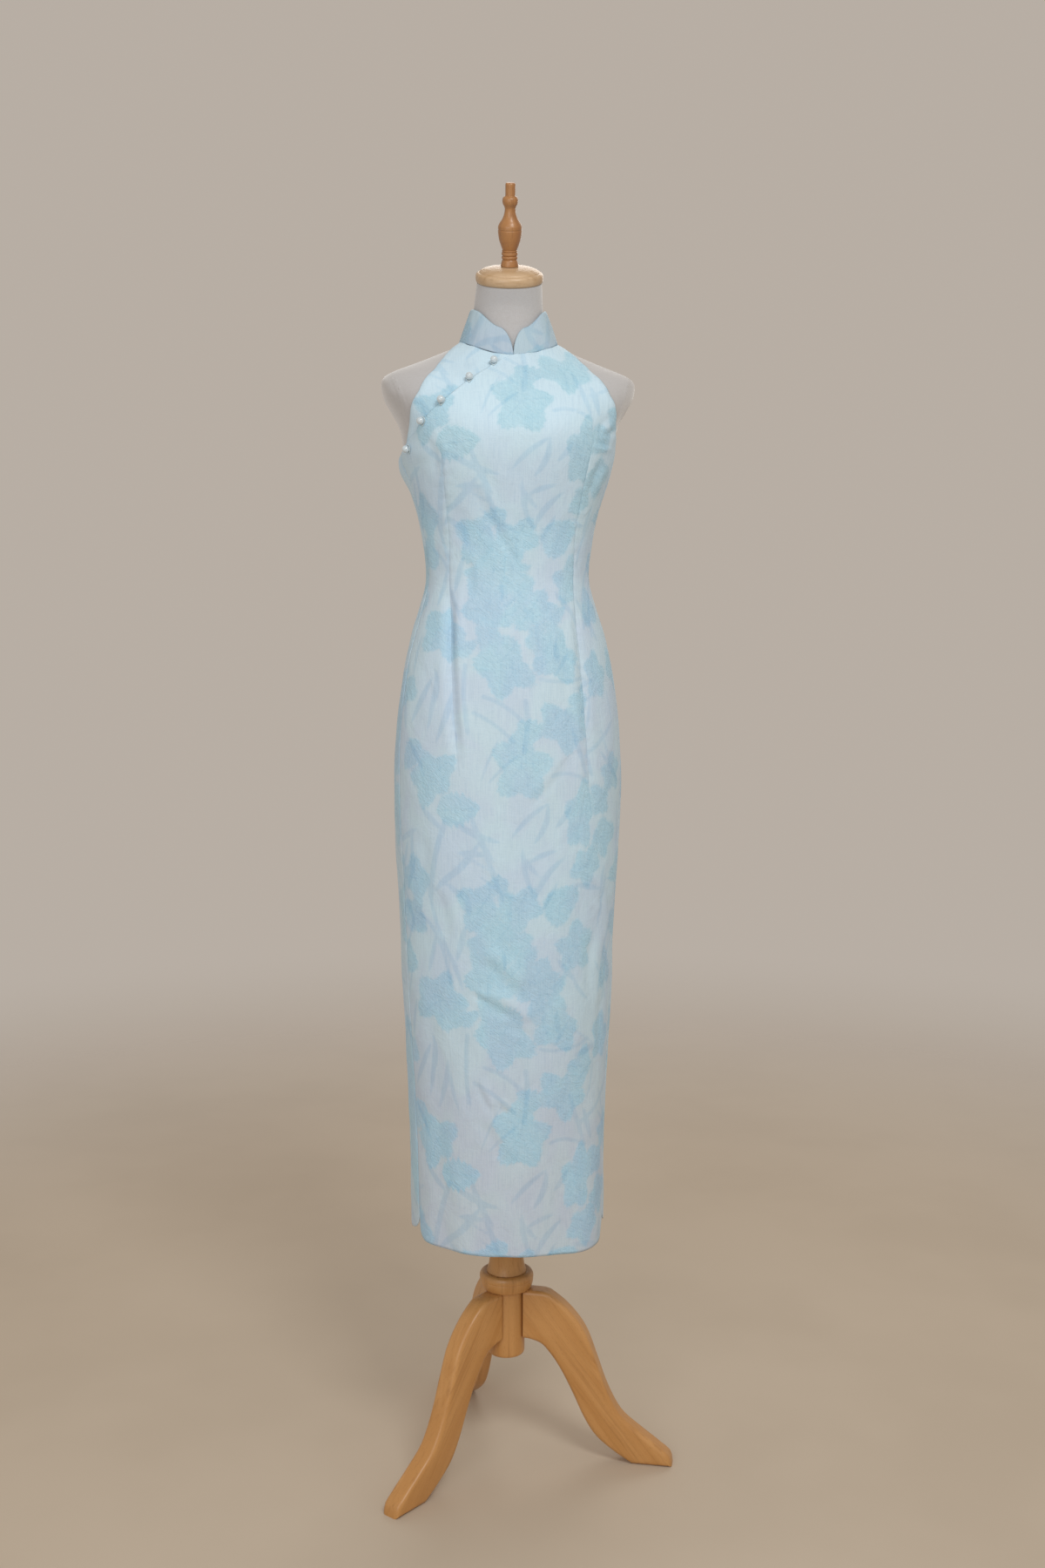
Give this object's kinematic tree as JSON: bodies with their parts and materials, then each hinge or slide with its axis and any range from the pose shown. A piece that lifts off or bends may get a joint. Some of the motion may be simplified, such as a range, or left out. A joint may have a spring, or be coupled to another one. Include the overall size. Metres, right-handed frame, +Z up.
{
  "type": "cheongsam dress on a limbless dress form with a tripod stand",
  "caption": "Sleeveless calf-length cheongsam with a standing collar, slanted closure and side slits, on a limbless dress form with a turned pole and tripod feet.",
  "frame": {"origin": "middle of the footprint on the floor, with the pole's axis at X -0.025 and Y -0.033", "axes": "+Z up along the pole; the dress faces -Y, so the wearer's right is at -X"},
  "size_m": [0.4196, 0.4122, 1.78],
  "materials": {
    "dress_cloth": "soft sheen, pale blossom and leaf pattern",
    "pearl": "pearl gloss",
    "form_cover": "matt plain weave",
    "stand_wood": "satin",
    "cap_wood": "satin"
  },
  "bodies": {
    "root": {"front": "dress_cloth", "front_yoke": "dress_cloth", "back": "dress_cloth", "collar": "dress_cloth", "button_1": "pearl", "button_2": "pearl", "button_3": "pearl", "button_4": "pearl", "button_5": "pearl", "button_loop_1": "dress_cloth", "button_loop_2": "dress_cloth", "button_loop_3": "dress_cloth", "button_loop_4": "dress_cloth", "button_loop_5": "dress_cloth", "form_torso": "form_cover", "neck_cap": "cap_wood", "finial": "stand_wood", "pole_upper": "stand_wood", "pole_ring": "stand_wood", "pole_hub": "stand_wood", "leg_1": "stand_wood", "leg_2": "stand_wood", "leg_3": "stand_wood"}
  },
  "joints": []
}
